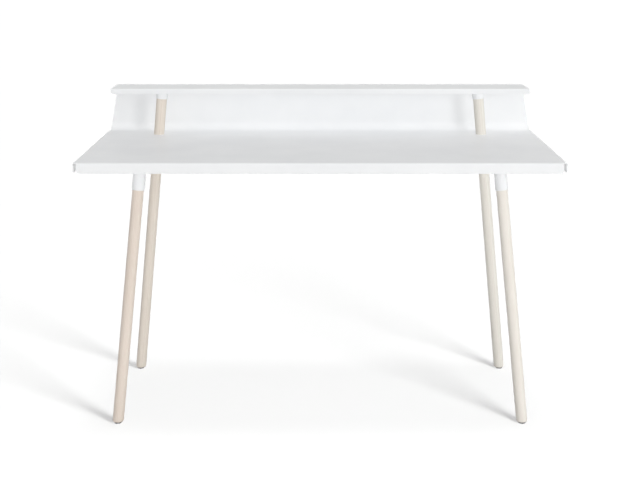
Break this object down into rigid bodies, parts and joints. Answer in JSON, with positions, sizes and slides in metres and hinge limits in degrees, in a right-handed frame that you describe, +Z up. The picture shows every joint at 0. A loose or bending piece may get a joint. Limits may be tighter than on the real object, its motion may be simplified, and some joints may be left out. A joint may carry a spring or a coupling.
{
  "type": "two-level desk",
  "caption": "Free-standing desk of folded white sheet with a raised rear shelf, on splayed round wooden legs; the rear legs pass through the work surface to carry the shelf.",
  "frame": {"origin": "on the floor under the middle of the desk", "axes": "+X along the desk, to the right of someone sitting at it; +Y from the seat to the back panel; +Z up"},
  "size_m": [1.3, 0.65, 0.89],
  "materials": {
    "white_paint": "fine satin powder coat",
    "pale_wood": "white-oiled, matt",
    "grey_plastic": "moulded, matt",
    "plated_steel": "zinc plated"
  },
  "bodies": {
    "root": {"desktop_sheet": "white_paint", "shelf_sheet": "white_paint", "front_stiffener": "white_paint", "rear_stiffener": "white_paint", "front_socket_left": "white_paint", "front_socket_right": "white_paint", "rear_socket_left": "white_paint", "rear_socket_right": "white_paint", "shelf_cup_left": "white_paint", "shelf_cup_right": "white_paint", "front_leg_left": "pale_wood", "front_leg_right": "pale_wood", "rear_leg_left": "pale_wood", "rear_leg_right": "pale_wood", "front_glide_left": "grey_plastic", "front_glide_right": "grey_plastic", "rear_glide_left": "grey_plastic", "rear_glide_right": "grey_plastic", "socket_studs": "plated_steel", "socket_nuts": "plated_steel", "shelf_studs": "plated_steel", "shelf_nuts": "plated_steel", "leg_screws": "plated_steel", "glide_nails": "plated_steel"}
  },
  "joints": []
}
